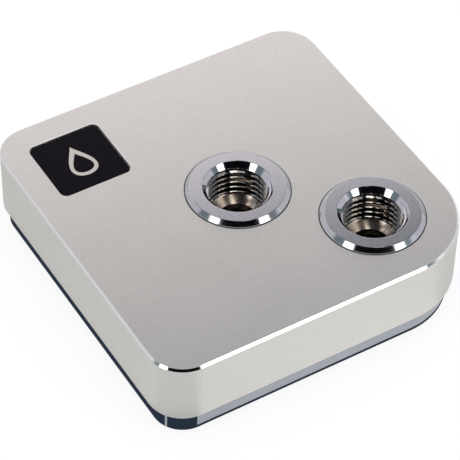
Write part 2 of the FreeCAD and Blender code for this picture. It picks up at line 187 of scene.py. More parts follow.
# painted highlights: glowing strips high over the plate that only bright metal mirrors and that light nothing
STRIP_HEIGHT = 900.0
STRIPS = (                       # name, span toward the camera, span to its right, glow
    ("strip_middle", (35.0, 302.0), (84.0, 268.0), (2.2, 2.24, 2.08)),
    ("strip_right", (-104.0, 112.0), (380.0, 527.0), (0.42, 0.38, 0.36)),
    ("strip_left", (-104.0, 112.0), (-510.0, -380.0), (0.36, 0.38, 0.42)),
    ("strip_right_low", (-130.0, 173.0), (536.0, 756.0), (0.95, 0.90, 0.80)),
    ("strip_left_low", (121.0, 225.0), (-657.0, -397.0), (1.35, 1.22, 1.18)),
)

# ---- table, and the cards on it, painted shade and reflections that only the plate's edge mirrors ---
TABLE_SIZE = 3000.0
TABLE_GAP = 0.02                 # under the plate's contact face
CARD_GAP = 0.01
TABLE_MATT = 0.84                # colour to light that bounces
TABLE_SHADED, TABLE_GLOW = 0.22, 0.84    # to the camera: a share that takes the shadow, and a glow
# painted light in the table's reflection: the glow that bright metal sees is darker to the left and lighter
# to the right
TABLE_MIRRORED_LEFT = (0.645, 0.645, 0.64)
TABLE_MIRRORED_RIGHT = (0.815, 0.81, 0.80)
TABLE_MIRRORED_FADE = (-62.0, 30.0)      # to the camera's right
# painted shade: dark glowing cards that only the plate's edge mirrors, darkening its left side and front
# corner, with a painted shadow line along its front foot
PAINTED_DARK_REFLECTION = (0.045, 0.062, 0.088)
DARK_CARD_HEIGHTS = (0.0, 2.5, 5.0)      # of the plate's edge that mirrors a card
FOOT_SHADOW_LINE_HEIGHTS = (0.0, 1.05)
# painted reflection: grey glowing cards further from the plate, which only its edge mirrors
PAINTED_GREY_REFLECTION = (0.64, 0.645, 0.65)
GREY_CARD_HEIGHTS = (5.2, 14.0, 24.0)
LEFT_DEGREES, FRONT_DEGREES = 180.0, 270.0       # round a corner's centre, from the right
CARD_START_DEGREES = 135.0
# painted highlight: in this gap the plate's edge mirrors the table's glow as a light streak
STREAK_DEGREES = (207.0, 211.5)  # bare table between two dark cards
CARD_END_DEGREES = 266.0
FOOT_LINE_END_DEGREES = 320.0
GREY_FRONT_DEGREES = (198.0, 262.0)
GREY_OUTLET_DEGREES = (288.0, 350.0)

# ---- lamps -------------------------------------------------------------------------------------
LAMPS = (                        # name, place, width and height, watts
    ("lamp_right", (208.0, -399.0, 370.0), (150.0, 190.0), 0.16),
    ("lamp_left", (-445.0, -67.0, 370.0), (150.0, 190.0), 0.16),
    ("lamp_top", (0.0, 0.0, 600.0), (220.0, 220.0), 0.12),
)


# ---- mesh helpers ------------------------------------------------------------------------------
def grid_faces(rows, columns, closed):
    """Quads of a grid of points: cell (i, j) joins rows i, i+1 and columns j, j+1. Closed joins its ends."""
    cells = (rows, columns) if closed else (rows - 1, columns - 1)
    i, j = np.meshgrid(np.arange(cells[0]), np.arange(cells[1]), indexing="ij")
    down, along = (i + 1) % rows, (j + 1) % columns
    quads = np.stack([i * columns + j, down * columns + j, down * columns + along, i * columns + along], -1)
    return quads.reshape(-1, 4)


def outward(points, quads):
    """The quads, turned round where the volume they enclose comes out negative."""
    corners = points[quads]
    fan = np.cross(corners[:, 1] - corners[:, 0], corners[:, 2] - corners[:, 0])
    fan = fan + np.cross(corners[:, 2] - corners[:, 0], corners[:, 3] - corners[:, 0])
    return quads[:, ::-1] if (fan * corners[:, 0]).sum() < 0 else quads


def mesh_piece(name, points, faces, material, sharp_degrees=None):
    """An object from points in millimetres and faces: flat, or smooth but for edges over an angle."""
    mesh = bpy.data.meshes.new(name)
    mesh.from_pydata((np.asarray(points, float) * MM).tolist(), [], np.asarray(faces).tolist())
    mesh.update()
    if sharp_degrees is not None:
        mesh.shade_smooth()
        mesh.set_sharp_from_angle(angle=math.radians(sharp_degrees))
    mesh.materials.append(material)
    piece = bpy.data.objects.new(name, mesh)
    bpy.context.scene.collection.objects.link(piece)
    return piece


# ---- shader helpers ----------------------------------------------------------------------------
MIX_FIRST, MIX_SECOND, MIX_RESULT = 6, 7, 2      # a Mix node's sockets for colours


def feed(tree, socket, value):
    """Sets an input to a value, or links it from another node's socket."""
    if isinstance(value, bpy.types.NodeSocket):
        tree.links.new(value, socket)
    else:
        socket.default_value = value


def place(tree, kind, inputs=None, **settings):
    """A node with its settings, and its inputs set to values or linked from sockets."""
    node = tree.nodes.new(kind)
    for name, value in settings.items():
        setattr(node, name, value)
    for socket, value in (inputs or {}).items():
        feed(tree, node.inputs[socket], value)
    return node


def maths(tree, operation, *values):
    """The result of a Math node on numbers or sockets."""
    return place(tree, "ShaderNodeMath", dict(enumerate(values)), operation=operation).outputs[0]


def vector_maths(tree, operation, *values):
    """The vector that a Vector Math node makes of vectors or sockets."""
    node = place(tree, "ShaderNodeVectorMath", dict(enumerate(values)), operation=operation)
    return node.outputs["Vector"]


def along(tree, point, direction):
    """How far a point lies along a direction."""
    node = place(tree, "ShaderNodeVectorMath", {0: point, 1: direction}, operation="DOT_PRODUCT")
    return node.outputs["Value"]


def shaded(tree, tone, strength):
    """A colour made lighter or darker by a factor."""
    node = place(tree, "ShaderNodeVectorMath", {0: tone, "Scale": strength}, operation="SCALE")
    return node.outputs["Vector"]


def ramp(tree, value, start, end, low=0.0, high=1.0):
    """A smooth step of a value: low before start, high after end."""
    inputs = {"Value": value, "From Min": start, "From Max": end, "To Min": low, "To Max": high}
    return place(tree, "ShaderNodeMapRange", inputs, interpolation_type="SMOOTHSTEP").outputs[0]


def patchy(tree, blotch, least, most):
    """A value that runs from least to most over the blotches of a noise."""
    return ramp(tree, blotch, BLOTCH_START, BLOTCH_END, least, most)


def opposite(tree, share):
    """One less a share."""
    return maths(tree, "SUBTRACT", 1.0, share)


def colour(rgb):
    """Three numbers, or one grey, as a colour with full alpha."""
    return (rgb, rgb, rgb, 1.0) if isinstance(rgb, (int, float)) else (*rgb, 1.0)


def blend_colour(tree, share, first, second):
    """A colour between two, by a share from 0 to 1."""
    node = place(tree, "ShaderNodeMix", {"Factor": share}, data_type="RGBA")
    for socket, value in ((MIX_FIRST, first), (MIX_SECOND, second)):
        feed(tree, node.inputs[socket], value if isinstance(value, bpy.types.NodeSocket) else colour(value))
    return node.outputs[MIX_RESULT]


def object_point(tree):
    """Object coordinates, in metres."""
    return place(tree, "ShaderNodeTexCoord").outputs["Object"]


def height_of(tree, point):
    """Height of a point over the contact face, in millimetres."""
    return maths(tree, "DIVIDE", place(tree, "ShaderNodeSeparateXYZ", {"Vector": point}).outputs["Z"], MM)


def noise(tree, point, size_mm, detail=2.0):
    """Noise whose grains are about size_mm across."""
    inputs = {"Vector": point, "Scale": 1.0 / (size_mm * MM), "Detail": detail}
    return place(tree, "ShaderNodeTexNoise", inputs).outputs["Fac"]


def straight_lines(tree, size_mm, scale):
    """Noise drawn out into fine straight lines, by a scale on each axis."""
    stretched = place(tree, "ShaderNodeMapping", {"Vector": object_point(tree), "Scale": scale})
    return noise(tree, stretched.outputs[0], size_mm, detail=3.0)


def new_group(name, inputs, outputs):
    """A shader node group with named float or vector sockets."""
    group = bpy.data.node_groups.new(name, "ShaderNodeTree")
    for socket, kind, default in inputs:
        made = group.interface.new_socket(socket, in_out="INPUT", socket_type=kind)
        made.default_value = default
    for socket, kind in outputs:
        group.interface.new_socket(socket, in_out="OUTPUT", socket_type=kind)
    return group, group.nodes.new("NodeGroupInput").outputs, group.nodes.new("NodeGroupOutput").inputs


def use_group(tree, group, **values):
    """The outputs of a group placed in a material; underscores in the names stand for spaces."""
    node = tree.nodes.new("ShaderNodeGroup")
    node.node_tree = group
    for name, value in values.items():
        feed(tree, node.inputs[name.replace("_", " ")], value)
    return node.outputs


def new_material(name, metallic, roughness, base=1.0):
    """A material with one Principled shader: the material, its tree and that shader's inputs."""
    material = bpy.data.materials.new(name)
    material.use_nodes = True
    shader = material.node_tree.nodes["Principled BSDF"].inputs
    shader["Base Color"].default_value = colour(base)
    shader["Metallic"].default_value = metallic
    shader["Roughness"].default_value = roughness
    return material, material.node_tree, shader


def bump(tree, shader, height, depth_mm):
    """Height, from 0 to 1, as a bump of a given depth."""
    node = place(tree, "ShaderNodeBump", {"Height": height, "Distance": depth_mm * MM, "Strength": 1.0})
    tree.links.new(node.outputs["Normal"], shader["Normal"])


# ---- effects shared by several finishes --------------------------------------------------------
FLOAT, VECTOR = "NodeSocketFloat", "NodeSocketVector"


def build_grain():
    """Blasted or rolled grain: two sizes of noise as a height, and slow blotches as a value."""
    sockets = [("Point", VECTOR, (0, 0, 0)), ("Grain Size", FLOAT, 0.2), ("Blotch Size", FLOAT, 12.0)]
    group, source, result = new_group("metal_grain", sockets, [("Height", FLOAT), ("Blotch", FLOAT)])

    def grains(scale, detail):
        inputs = {"Vector": source["Point"], "Scale": scale, "Detail": detail}
        return place(group, "ShaderNodeTexNoise", inputs).outputs["Fac"]

    fine_scale = maths(group, "DIVIDE", 1.0 / MM, source["Grain Size"])
    coarse_scale = maths(group, "MULTIPLY", fine_scale, GRAIN_RATIO)
    blotch_scale = maths(group, "DIVIDE", 1.0 / MM, source["Blotch Size"])
    coarse = maths(group, "MULTIPLY", grains(coarse_scale, 1.0), GRAIN_COARSE)
    height = maths(group, "MULTIPLY_ADD", grains(fine_scale, 2.0), GRAIN_FINE, coarse)
    group.links.new(height, result["Height"])
    group.links.new(grains(blotch_scale, 3.0), result["Blotch"])
    return group


def build_turning():
    """Tool marks of a lathe: ripples in the distance from an upright axis, broken up a little by noise."""
    sockets = [("Point", VECTOR, (0, 0, 0)), ("Axis", VECTOR, (0, 0, 0)), ("Feed", FLOAT, 0.1)]
    group, source, result = new_group("turning_marks", sockets, [("Height", FLOAT), ("Radius", FLOAT)])
    from_axis = vector_maths(group, "SUBTRACT", source["Point"], source["Axis"])
    level = vector_maths(group, "MULTIPLY", from_axis, (1.0, 1.0, 0.0))
    radius = place(group, "ShaderNodeVectorMath", {0: level}, operation="LENGTH").outputs["Value"]
    radius_mm = maths(group, "DIVIDE", radius, MM)
    turns = maths(group, "DIVIDE", radius_mm, source["Feed"])
    waver = noise(group, source["Point"], size_mm=3.0)
    turns = maths(group, "MULTIPLY_ADD", waver, TURNING_WAVER, turns)
    ripple = maths(group, "SINE", maths(group, "MULTIPLY", turns, 2 * math.pi))
    group.links.new(maths(group, "MULTIPLY_ADD", ripple, 0.5, 0.5), result["Height"])
    group.links.new(radius_mm, result["Radius"])
    return group


grain = build_grain()
turning = build_turning()


# ---- finishes ----------------------------------------------------------------------------------
def grained(name, metallic, base, roughness, grain_mm, blotch_mm, depth_mm):
    """A finish of one colour with a fine grain, and a roughness between two values by the blotches."""
    material, tree, shader = new_material(name, metallic, sum(roughness) / 2, base)
    marks = use_group(tree, grain, Point=object_point(tree), Grain_Size=grain_mm, Blotch_Size=blotch_mm)
    tree.links.new(patchy(tree, marks["Blotch"], *roughness), shader["Roughness"])
    bump(tree, shader, marks["Height"], depth_mm)
    return material


def mottled(name, dark, light, roughness, blotch_mm):
    """A matt finish between two close colours, by the blotches."""
    material, tree, shader = new_material(name, 0.0, roughness)
    marks = use_group(tree, grain, Point=object_point(tree), Grain_Size=0.2, Blotch_Size=blotch_mm)
    tree.links.new(blend_colour(tree, marks["Blotch"], dark, light), shader["Base Color"])
    return material


def outer_rim(tree, point):
    """1 near the cover's sides and 0 inside, by the larger distance from the middle along X or Y."""
    parts = place(tree, "ShaderNodeSeparateXYZ", {"Vector": point}).outputs
    reach = maths(tree, "MAXIMUM", maths(tree, "ABSOLUTE", parts["X"]), maths(tree, "ABSOLUTE", parts["Y"]))
    return maths(tree, "GREATER_THAN", reach, (COVER_HIGH[0] - OUTER_RIM) * MM)


def cover_satin():
    """Blasted aluminium: a silky top, a polished bevel round it and pale matt bevels round its openings."""
    material, tree, shader = new_material("cover_satin", 1.0, sum(SATIN_ROUGHNESS) / 2)
    point = object_point(tree)
    marks = use_group(tree, grain, Point=point, Grain_Size=0.16, Blotch_Size=14.0)
    height_mm = height_of(tree, point)
    under_top = maths(tree, "LESS_THAN", height_mm, COVER_TOP - FACE_MARGIN)
    in_top_bevel = maths(tree, "GREATER_THAN", height_mm, COVER_TOP - TOP_BEVEL)
    in_opening_bevel = maths(tree, "GREATER_THAN", height_mm, COVER_TOP - OPENING_BEVEL)
    in_rim = outer_rim(tree, point)
    edge = maths(tree, "MULTIPLY", maths(tree, "MULTIPLY", in_top_bevel, under_top), in_rim)
    opening = maths(tree, "MULTIPLY", in_opening_bevel, under_top)
    opening = maths(tree, "MULTIPLY", opening, opposite(tree, in_rim))
    cut = maths(tree, "MAXIMUM", edge, opening)

    speck = maths(tree, "MULTIPLY_ADD", marks["Height"], SPECK_DEPTH, 1.0 - GRAIN_MEAN * SPECK_DEPTH)
    speck = maths(tree, "ADD", speck, patchy(tree, marks["Blotch"], -BLOTCH_DEPTH, BLOTCH_DEPTH))
    satin = shaded(tree, SATIN_ALUMINIUM, speck)
    tree.links.new(blend_colour(tree, cut, satin, CUT_ALUMINIUM), shader["Base Color"])
    tree.links.new(opposite(tree, opening), shader["Metallic"])
    roughness = patchy(tree, marks["Blotch"], *SATIN_ROUGHNESS)
    tree.links.new(maths(tree, "MULTIPLY_ADD", edge, -EDGE_POLISH, roughness), shader["Roughness"])
    relief = maths(tree, "MULTIPLY", marks["Height"], opposite(tree, cut))
    bump(tree, shader, relief, depth_mm=0.006)
    return material


def port_chrome(name, axis):
    """Bright plating: turned and flecked on the collar, with painted shade that darkens it down into the
    thread, warm and dull at its foot.
    """
    material, tree, shader = new_material(name, 1.0, PLATING_ROUGHNESS[1])
    point = object_point(tree)
    marks = use_group(tree, turning, Point=point, Axis=(axis[0] * MM, axis[1] * MM, 0.0), Feed=0.11)
    height_mm = height_of(tree, point)
    mouth = THREAD_MAJOR_RADIUS + MOUTH_CLEARANCE
    on_collar = maths(tree, "GREATER_THAN", marks["Radius"], mouth + COLLAR_MARGIN)
    in_bore = ramp(tree, height_mm, COVER_TOP, COVER_TOP - BORE_FADE)
    at_foot = ramp(tree, height_mm, DULL_FROM, DULL_BELOW)

    fleck = patchy(tree, noise(tree, point, size_mm=0.3, detail=1.0), -FLECK_DEPTH, FLECK_DEPTH)
    # painted shade: the plating darkens from the cover's top down into the thread
    tone = blend_colour(tree, in_bore, BRIGHT_PLATING, PAINTED_THREAD_SHADE)
    tone = shaded(tree, tone, maths(tree, "MULTIPLY_ADD", fleck, on_collar, 1.0))
    tree.links.new(blend_colour(tree, at_foot, tone, WARM_FOOT), shader["Base Color"])
    smudge = noise(tree, point, size_mm=2.5, detail=3.0)
    roughness = ramp(tree, smudge, SMUDGE_START, SMUDGE_END, *PLATING_ROUGHNESS)
    roughness = maths(tree, "MULTIPLY_ADD", at_foot, FOOT_DULLING, roughness)
    roughness = maths(tree, "MULTIPLY_ADD", on_collar, COLLAR_DULLING, roughness)
    tree.links.new(roughness, shader["Roughness"])
    relief = maths(tree, "MULTIPLY", marks["Height"], on_collar)
    bump(tree, shader, relief, depth_mm=0.0006)
    return material


def plate_nickel():
    """Nickel plate on copper, darkened to a blue-grey as a painted reflection: a bright-polished edge, and a
    lapped contact face with fine straight marks.
    """
    material, tree, shader = new_material("plate_nickel", 1.0, PLATE_ROUGHNESS)
    point = object_point(tree)
    marks = use_group(tree, grain, Point=point, Grain_Size=0.25, Blotch_Size=8.0)
    lapping = straight_lines(tree, size_mm=0.12, scale=(1.0, LINE_STRETCH, 1.0))
    on_contact = maths(tree, "LESS_THAN", height_of(tree, point), FACE_MARGIN)
    tint = patchy(tree, marks["Blotch"], 0.0, 1.0)
    tree.links.new(blend_colour(tree, tint, NICKEL, NICKEL_LIGHT), shader["Base Color"])
    roughness = maths(tree, "MULTIPLY_ADD", on_contact, CONTACT_DULLING, PLATE_ROUGHNESS)
    tree.links.new(roughness, shader["Roughness"])
    relief = maths(tree, "MULTIPLY", lapping, on_contact)
    bump(tree, shader, relief, depth_mm=0.003)
    return material


def body_black():
    """Machined black acetal: a soft sheen, with faint cutter marks."""
    roughness = (0.36, 0.48)
    return grained("body_black", 0.0, ACETAL, roughness, grain_mm=0.3, blotch_mm=6.0, depth_mm=0.004)


def seal_rubber():
    """Dull black seal rubber with a fine moulded grain."""
    roughness = (0.62, 0.78)
    return grained("seal_rubber", 0.0, RUBBER, roughness, grain_mm=0.1, blotch_mm=3.0, depth_mm=0.004)


def sheet_steel():
    """Rolled stainless sheet: long fine lines along X."""
    roughness = (0.22, 0.34)
    material, tree, shader = new_material("sheet_steel", 1.0, sum(roughness) / 2, STAINLESS_SHEET)
    lines = straight_lines(tree, size_mm=0.08, scale=(LINE_STRETCH, 1.0, 1.0))
    tree.links.new(patchy(tree, lines, *roughness), shader["Roughness"])
    bump(tree, shader, lines, depth_mm=0.002)
    return material


def screw_steel():
    """Stainless screws: bright, with small tumbling marks."""
    roughness = (0.16, 0.32)
    return grained("screw_steel", 1.0, STAINLESS, roughness, grain_mm=0.12, blotch_mm=1.2, depth_mm=0.003)


def badge_black():
    """Black anodised badge: deep, faintly violet, half gloss."""
    roughness = (0.20, 0.30)
    finish = grained("badge_black", 0.0, ANODISED, roughness, grain_mm=0.08, blotch_mm=4.0, depth_mm=0.001)
    finish.node_tree.nodes["Principled BSDF"].inputs["Specular IOR Level"].default_value = BLACK_SHEEN
    return finish


def badge_print():
    """Pale print on the badge."""
    return mottled("badge_print", PRINT_DARK, PRINT_LIGHT, roughness=0.4, blotch_mm=2.0)


def adhesive_film():
    """Clear-grey film of adhesive."""
    return mottled("adhesive_film", FILM_DARK, FILM_LIGHT, roughness=0.5, blotch_mm=2.0)


def dress_nodes():
    """Gives every node of the frame its finish."""
    finishes = {
        "cover": cover_satin(),
        "flow_body": body_black(),
        "cold_plate": plate_nickel(),
        "jet_plate": sheet_steel(),
        "badge": badge_black(),
        "badge_adhesive": adhesive_film(),
    }
    rubber, screws, chrome = seal_rubber(), screw_steel(), port_chrome("port_chrome", (0.0, 0.0))
    for name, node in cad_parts.items():
        if "seal" in name or "gasket" in name:
            finish = rubber
        elif "screw" in name:
            finish = screws
        elif "insert" in name:
            finish = chrome
        else:
            finish = finishes[name]
        node.data.materials.clear()
        node.data.materials.append(finish)


# ---- threaded port inserts ---------------------------------------------------------------------
def thread_form(turns):
    """Depth under the crests, in mm, of a 55 degree thread cut into a drilled hole.

    The drill leaves each crest flat for a sixth of the pitch. A straight flank of slope 1 / tan(27.5 degrees)
    runs from its edge to the arc in the root, whose radius is 0.1373 pitch. Distances run along the axis,
    from the middle of the nearest crest and from the nearest root.
    """
    from_crest = np.abs(turns - np.round(turns)) * THREAD_PITCH
    from_root = THREAD_PITCH / 2 - from_crest
    radius = THREAD_ROUNDING * THREAD_PITCH
    half_angle = math.radians(THREAD_HALF_ANGLE)
    reach = radius * math.cos(half_angle)
    arc_depth = radius * (1 - math.sin(half_angle))
    flank_start, flank_end = THREAD_CREST * THREAD_PITCH, THREAD_PITCH / 2 - reach
    flank = (np.clip(from_crest, flank_start, flank_end) - flank_start) / math.tan(half_angle)
    below_arc = radius - np.sqrt(radius**2 - np.minimum(from_root, reach) ** 2)
    return flank + arc_depth - np.where(from_root < reach, below_arc, arc_depth)


def broken_corner(profile, corner, softening):
    """Points of a profile's corner, rounded.

    A parabola runs from one point to the other that lie softening away from the corner on its two sides, with
    the corner as its middle control point, and a support point stands just outside each end.
    """
    into = profile[corner - 1] - profile[corner]
    away = profile[corner + 1] - profile[corner]
    into, away = into / np.linalg.norm(into), away / np.linalg.norm(away)
    start, end = profile[corner] + into * softening, profile[corner] + away * softening
    share = np.linspace(0, 1, CORNER_STEPS)[:, None]
    arc = (1 - share) ** 2 * start + 2 * share * (1 - share) * profile[corner] + share**2 * end
    return np.vstack([start + into * EDGE_SUPPORT, arc, end + away * EDGE_SUPPORT])


def port_insert(node):
    """A turned insert with its real pipe thread.

    The outer profile is turned as it stands. Inside, the radius at height z and angle t is the larger of the
    plain wall's and of the thread's: minor radius plus the thread form of z / pitch - t / turn.
    """
    low, high = node_box(node)
    centre = (low + high) / 2
    foot, top = low[2], high[2]
    collar = (high[0] - low[0]) / 2
    body = THREAD_MAJOR_RADIUS + INSERT_WALL
    minor = THREAD_MAJOR_RADIUS - THREAD_DEPTH
    mouth = THREAD_MAJOR_RADIUS + MOUTH_CLEARANCE
    countersink_foot = top - (mouth - minor)
    thread_foot = foot + THREAD_RUNOUT + BORE_STEP
    cone_foot = thread_foot - (minor - PASSAGE_RADIUS) / math.tan(math.radians(DRILL_POINT_DEGREES))

    outer = np.array([
        (minor, countersink_foot),
        (mouth - MOUTH_ROUNDING, top),
        (collar - COLLAR_BEVEL, top),
        (collar, top - COLLAR_BEVEL),
        (collar, top - COLLAR_HEIGHT),
        (body, top - COLLAR_HEIGHT),
        (body, foot),
        (PASSAGE_RADIUS, foot),
    ])
    softenings = (MOUTH_ROUNDING, CORNER_SOFTENING, CORNER_SOFTENING)
    corners = [broken_corner(outer, corner, softening) for corner, softening in enumerate(softenings, 1)]
    outside = np.vstack([*corners, outer[4:]])
    mouth_radius, mouth_height = outside[0]

    wall_z = np.array([foot, cone_foot, thread_foot, countersink_foot, mouth_height])
    wall_r = np.array([PASSAGE_RADIUS, PASSAGE_RADIUS, minor, minor, mouth_radius])
    fine = np.arange(thread_foot, mouth_height - EDGE_SUPPORT, THREAD_PITCH / THREAD_STEPS)
    inside_z = np.unique(np.concatenate([wall_z[1:-1], fine]))
    angle = np.linspace(0, 2 * np.pi, TURN_STEPS, endpoint=False)

    plain = np.interp(inside_z, wall_z, wall_r)[:, None]
    turns = (inside_z[:, None] - foot) / THREAD_PITCH - angle[None, :] / (2 * np.pi)
    growth = np.clip((inside_z - thread_foot) / (THREAD_END * THREAD_PITCH), 0, 1)[:, None]
    threaded = minor + thread_form(turns) * growth
    in_thread = inside_z[:, None] > thread_foot
    inside_r = np.where(in_thread, np.maximum(plain, threaded), plain)

    radius = np.vstack([np.repeat(outside[:, :1], TURN_STEPS, 1), inside_r])
    height = np.concatenate([outside[:, 1], inside_z])
    x = centre[0] + radius * np.cos(angle)
    y = centre[1] + radius * np.sin(angle)
    z = np.repeat(height[:, None], TURN_STEPS, 1)
    points = np.stack([x, y, z], -1).reshape(-1, 3)
    faces = outward(points, grid_faces(len(height), TURN_STEPS, closed=True))
    name = node.replace("insert", "threaded_insert")
    piece = mesh_piece(name, points, faces, port_chrome(name + "_chrome", centre), SHARP_DEGREES)
    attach(piece, "root")
    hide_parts(node)


# ---- badge mark --------------------------------------------------------------------------------
def droplet(angle, length, width):
    """Teardrop with its tip ahead.

    Ahead is half the length times the angle's cosine. Across is half the width times the angle's sine and a
    power of the half angle's sine, which draws the tip out, made a little fuller.
    """
    ahead = length / 2 * np.cos(angle)
    across = width / 2 * DROP_FULLNESS * np.sin(angle) * np.sin(angle / 2) ** DROP_TAPER
    return np.stack([across, ahead], -1)


def badge_mark():
    """A plain drop drawn as one line: a flat band between a droplet and a smaller one inside it."""
    centre = (BADGE_LOW + BADGE_HIGH) / 2
    angle = np.linspace(0, 2 * np.pi, MARK_STEPS, endpoint=False)
    outline = droplet(angle, MARK_LENGTH, MARK_WIDTH)
    hollow = droplet(angle, MARK_LENGTH - MARK_HOLLOW_SHORTER * MARK_STROKE, MARK_WIDTH - 2 * MARK_STROKE)
    hollow[:, 1] -= MARK_HOLLOW_LOWER * MARK_STROKE
    foot = BADGE_HIGH[2]
    top = foot + MARK_THICKNESS
    section = ((outline, foot), (outline, top), (hollow, top), (hollow, foot))
    points = np.vstack([np.column_stack([line + centre[:2], np.full(MARK_STEPS, z)]) for line, z in section])
    faces = outward(points - points.mean(0), grid_faces(len(section), MARK_STEPS, closed=True))
    piece = mesh_piece("badge_mark", points, faces, badge_print())
    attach(piece, "root")


# ---- camera and directions ---------------------------------------------------------------------
def level_axes(azimuth_degrees):
    """Level directions toward a viewer who stands that far round from straight in front, and to the right."""
    azimuth = math.radians(azimuth_degrees)
    toward = np.array([-math.sin(azimuth), -math.cos(azimuth)])
    right = np.array([math.cos(azimuth), -math.sin(azimuth)])
    return toward, right


def view_axes():
    """Right, up and back of the camera, from its azimuth, elevation and roll."""
    azimuth, elevation, roll = (math.radians(a) for a in (VIEW_AZIMUTH, VIEW_ELEVATION, VIEW_ROLL))
    ahead = Vector((
        math.sin(azimuth) * math.cos(elevation),
        math.cos(azimuth) * math.cos(elevation),
        -math.sin(elevation),
    ))
    right = ahead.cross(Vector((0, 0, 1))).normalized()
    up = right.cross(ahead)
    turned_right = math.cos(roll) * right + math.sin(roll) * up
    turned_up = -math.sin(roll) * right + math.cos(roll) * up
    return turned_right, turned_up, -ahead


def make_camera():
    """The camera, at its distance from the target along its own axis."""
    right, up, back = view_axes()
    eye = (Vector(VIEW_TARGET) + back * VIEW_DISTANCE) * MM
    data = bpy.data.cameras.new("camera")
    data.lens = VIEW_LENS
    data.sensor_width = 36.0
    data.clip_start = 0.01
    data.clip_end = 20.0
    camera = bpy.data.objects.new("camera", data)
    camera.matrix_world = Matrix((
        (right.x, up.x, back.x, eye.x),
        (right.y, up.y, back.y, eye.y),
        (right.z, up.z, back.z, eye.z),
        (0, 0, 0, 1),
    ))
    bpy.context.scene.collection.objects.link(camera)
    bpy.context.scene.camera = camera


# ---- studio ------------------------------------------------------------------------------------
def make_world():
    """White to the camera, plain light for matt surfaces, and painted reflections of flags and softboxes for
    bright metal, which light nothing.

    Two angles of a direction tell the zones: how far round it lies from the studio's front, and how high it
    is. These zones are painted reflections: a dark flag stands in front, then on each side a softbox, a dim
    wall and a pale one behind, with a paler band along the horizon in front and a dark ceiling.
    """
    world = bpy.data.worlds.new("studio")
    bpy.context.scene.world = world
    world.use_nodes = True
    world.cycles.sampling_method = "NONE"
    tree = world.node_tree
    tree.nodes.clear()
    direction = place(tree, "ShaderNodeTexCoord").outputs["Generated"]
    front, side = ((*axis, 0.0) for axis in level_axes(STUDIO_AZIMUTH))
    to_side = maths(tree, "ABSOLUTE", along(tree, direction, side))
    turned = maths(tree, "DEGREES", maths(tree, "ARCTAN2", to_side, along(tree, direction, front)))
    raised = maths(tree, "DEGREES", maths(tree, "ARCSINE", along(tree, direction, (0.0, 0.0, 1.0))))

    walls = blend_colour(tree, ramp(tree, turned, *WALL_EDGE), TEAL, LAVENDER)
    walls = blend_colour(tree, ramp(tree, turned, *SOFTBOX_EDGE), SOFTBOX, walls)
    walls = blend_colour(tree, ramp(tree, turned, *FLAG_EDGE), FLAG, walls)
    horizon = blend_colour(tree, ramp(tree, turned, *WALL_EDGE), HORIZON, LAVENDER)
    mirrored = blend_colour(tree, ramp(tree, raised, *HORIZON_EDGE), horizon, walls)
    mirrored = blend_colour(tree, ramp(tree, raised, *CEILING_EDGE), mirrored, CEILING)

    rays = place(tree, "ShaderNodeLightPath").outputs
    # painted reflections: glossy rays see the zones, every other ray the plain light
    lit = blend_colour(tree, rays["Is Glossy Ray"], PLAIN_LIGHT, mirrored)
    seen = blend_colour(tree, rays["Is Camera Ray"], lit, 1.0)
    background = place(tree, "ShaderNodeBackground", {"Color": seen, "Strength": 1.0})
    place(tree, "ShaderNodeOutputWorld", {"Surface": background.outputs[0]})


def bare_material(name):
    """A material with no shader yet, and its tree."""
    material = bpy.data.materials.new(name)
    material.use_nodes = True
    material.node_tree.nodes.clear()
    return material, material.node_tree


def glow(tree, tone, strength=1.0):
    """A shader that glows in a colour, whatever light falls on it."""
    tone = tone if isinstance(tone, bpy.types.NodeSocket) else colour(tone)
    return place(tree, "ShaderNodeEmission", {"Color": tone, "Strength": strength}).outputs[0]


def mix_shaders(tree, share, first, second):
    """A shader between two, by a share from 0 to 1."""
    return place(tree, "ShaderNodeMixShader", {0: share, 1: first, 2: second}).outputs[0]


def table_finish():
    """White table: white to the camera but for the shadow, matt to other light, and in bright metal a glow of
    painted light, darker to the left and lighter to the right.

    From behind it is clear, so that the underside can be seen.
    """
    material, tree = bare_material("white_table")
    rays = place(tree, "ShaderNodeLightPath").outputs
    matt = place(tree, "ShaderNodeBsdfDiffuse", {"Color": colour(TABLE_MATT)}).outputs[0]
    shadowed = place(tree, "ShaderNodeBsdfDiffuse", {"Color": colour(TABLE_SHADED)}).outputs[0]
    white = place(tree, "ShaderNodeAddShader", {0: shadowed, 1: glow(tree, 1.0, TABLE_GLOW)}).outputs[0]
    # painted light: the glow in bright metal fades from darker on the left to lighter on the right
    right = (*level_axes(VIEW_AZIMUTH)[1], 0.0)
    along_mm = maths(tree, "DIVIDE", along(tree, object_point(tree), right), MM)
    fade = ramp(tree, along_mm, *TABLE_MIRRORED_FADE)
    mirrored = glow(tree, blend_colour(tree, fade, TABLE_MIRRORED_LEFT, TABLE_MIRRORED_RIGHT))
    front = mix_shaders(tree, rays["Is Glossy Ray"], matt, mirrored)
    front = mix_shaders(tree, rays["Is Camera Ray"], front, white)
    clear = place(tree, "ShaderNodeBsdfTransparent").outputs[0]
    behind = place(tree, "ShaderNodeNewGeometry").outputs["Backfacing"]
    place(tree, "ShaderNodeOutputMaterial", {"Surface": mix_shaders(tree, behind, front, clear)})
    return material


def glow_finish(name, tone):
    """Plain glow of one colour, or of a colour socket made by a function of the tree."""
    material, tree = bare_material(name)
    material.cycles.emission_sampling = "NONE"
    place(tree, "ShaderNodeOutputMaterial", {"Surface": glow(tree, tone(tree) if callable(tone) else tone)})
    return material


